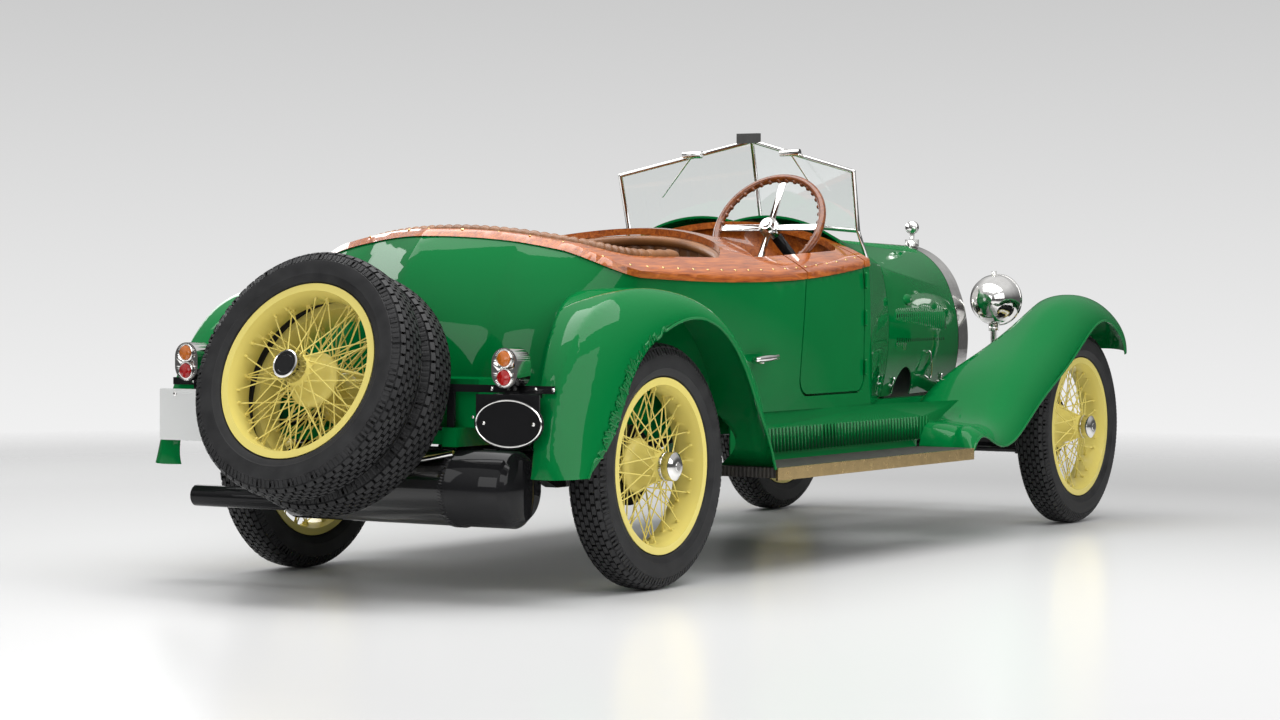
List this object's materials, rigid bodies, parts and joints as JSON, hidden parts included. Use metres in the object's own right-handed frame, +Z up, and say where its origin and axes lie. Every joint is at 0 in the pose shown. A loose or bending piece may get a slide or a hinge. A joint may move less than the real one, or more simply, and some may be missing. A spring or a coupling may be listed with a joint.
{
  "type": "1920s touring car",
  "caption": "Open four-wheeled touring car with wire wheels, wooden cockpit capping, a V windscreen, long wings, side-opening bonnet and two spare wheels on its tail.",
  "frame": {"origin": "on the ground, at the middle of the whole length and width", "axes": "+X forward, +Y to the left, +Z up"},
  "size_m": [4.5588, 1.576, 1.456],
  "materials": {
    "green_paint": "gloss",
    "yellow_paint": "gloss",
    "tyre_rubber": "matt",
    "varnished_wood": "gloss varnish",
    "tan_leather": "satin",
    "bright_metal": "polished",
    "brass": "polished",
    "black_enamel": "gloss",
    "bare_steel": "satin",
    "clear_glass": "clear",
    "red_glass": "clear",
    "ribbed_mat": "matt"
  },
  "bodies": {
    "chassis": {"chassis_frame": "green_paint", "engine_block": "bare_steel", "gearbox": "bare_steel", "rear_axle": "black_enamel", "front_axle": "black_enamel", "leaf_springs": "black_enamel", "silencer": "black_enamel", "tail_pipe": "black_enamel", "tail_apron": "green_paint", "body_shell": "green_paint", "floor_board": "ribbed_mat", "scuttle": "green_paint", "dashboard": "varnished_wood", "wood_capping": "varnished_wood", "cockpit_partition": "tan_leather", "front_seat": "tan_leather", "rear_seat": "tan_leather", "seat_roll": "tan_leather", "radiator_shell": "bright_metal", "radiator_core": "bare_steel", "radiator_cap": "bright_metal", "rear_wings": "green_paint", "front_wings": "green_paint", "running_boards": "ribbed_mat", "board_edges": "brass", "valances": "green_paint", "screen_frame": "bright_metal", "screen_glass": "clear_glass", "screen_fittings": "bright_metal", "steering_column": "black_enamel", "levers": "bright_metal", "headlamps": "bright_metal", "headlamp_lenses": "clear_glass", "tail_lamps": "green_paint", "tail_lenses": "red_glass", "tail_brackets": "green_paint", "oval_plate": "black_enamel", "number_plate": "black_enamel", "quarter_handles": "bright_metal", "spare_carrier": "black_enamel", "spare_wheels": "yellow_paint", "spare_tyres": "tyre_rubber"},
    "left_door": {"door_left": "green_paint", "door_top_left": "varnished_wood"},
    "left_bonnet": {"bonnet_left": "green_paint"},
    "left_knuckle": {"knuckle_left": "black_enamel"},
    "rear_left_wheel": {"wheel_rear_left": "yellow_paint", "tyre_rear_left": "tyre_rubber"},
    "front_left_wheel": {"wheel_front_left": "yellow_paint", "tyre_front_left": "tyre_rubber"},
    "right_door": {"door_right": "green_paint", "door_top_right": "varnished_wood"},
    "right_bonnet": {"bonnet_right": "green_paint"},
    "right_knuckle": {"knuckle_right": "black_enamel"},
    "rear_right_wheel": {"wheel_rear_right": "yellow_paint", "tyre_rear_right": "tyre_rubber"},
    "front_right_wheel": {"wheel_front_right": "yellow_paint", "tyre_front_right": "tyre_rubber"},
    "track_rod": {"tie_rod": "black_enamel"},
    "handwheel": {"steering_wheel": "varnished_wood"}
  },
  "joints": [
    {"name": "door_left_hinge", "type": "hinge", "parent": "chassis", "child": "left_door", "pos_m": [0.31236, 0.568, 0.75], "axis": [0, 0, -1], "range_deg": [0, 65]},
    {"name": "bonnet_left_hinge", "type": "hinge", "parent": "chassis", "child": "left_bonnet", "pos_m": [1.30936, 0, 1.076], "axis": [0.9998, 0, -0.0204], "range_deg": [0, 60]},
    {"name": "steer_left", "type": "hinge", "parent": "chassis", "child": "left_knuckle", "pos_m": [1.83936, 0.525, 0.371], "axis": [0, 0, 1], "range_deg": [-28, 28]},
    {"name": "rear_left_wheel_spin", "type": "hinge", "parent": "chassis", "child": "rear_left_wheel", "pos_m": [-1.28064, 0.65, 0.371], "axis": [0, 1, 0], "continuous": true},
    {"name": "front_left_wheel_spin", "type": "hinge", "parent": "left_knuckle", "child": "front_left_wheel", "pos_m": [1.83936, 0.65, 0.371], "axis": [0, 1, 0], "continuous": true},
    {"name": "door_right_hinge", "type": "hinge", "parent": "chassis", "child": "right_door", "pos_m": [0.31236, -0.568, 0.75], "axis": [0, 0, 1], "range_deg": [0, 65]},
    {"name": "bonnet_right_hinge", "type": "hinge", "parent": "chassis", "child": "right_bonnet", "pos_m": [1.30936, 0, 1.076], "axis": [-0.9998, 0, 0.0204], "range_deg": [0, 60]},
    {"name": "steer_right", "type": "hinge", "parent": "chassis", "child": "right_knuckle", "pos_m": [1.83936, -0.525, 0.371], "axis": [0, 0, 1], "range_deg": [-28, 28]},
    {"name": "rear_right_wheel_spin", "type": "hinge", "parent": "chassis", "child": "rear_right_wheel", "pos_m": [-1.28064, -0.65, 0.371], "axis": [0, 1, 0], "continuous": true},
    {"name": "front_right_wheel_spin", "type": "hinge", "parent": "right_knuckle", "child": "front_right_wheel", "pos_m": [1.83936, -0.65, 0.371], "axis": [0, 1, 0], "continuous": true},
    {"name": "track_rod_swivel", "type": "hinge", "parent": "left_knuckle", "child": "track_rod", "pos_m": [1.66936, 0.525, 0.283], "axis": [0, 0, 1], "range_deg": [-28, 28]},
    {"name": "handwheel_turn", "type": "hinge", "parent": "chassis", "child": "handwheel", "pos_m": [0.08936, -0.3, 1.113], "axis": [-0.8517, 0, 0.524], "range_deg": [-336, 336]}
  ],
  "couplings": [
    {"joint": "steer_right", "follows": "steer_left", "ratio": 1},
    {"joint": "track_rod_swivel", "follows": "steer_left", "ratio": -1},
    {"joint": "handwheel_turn", "follows": "steer_left", "ratio": 12}
  ]
}
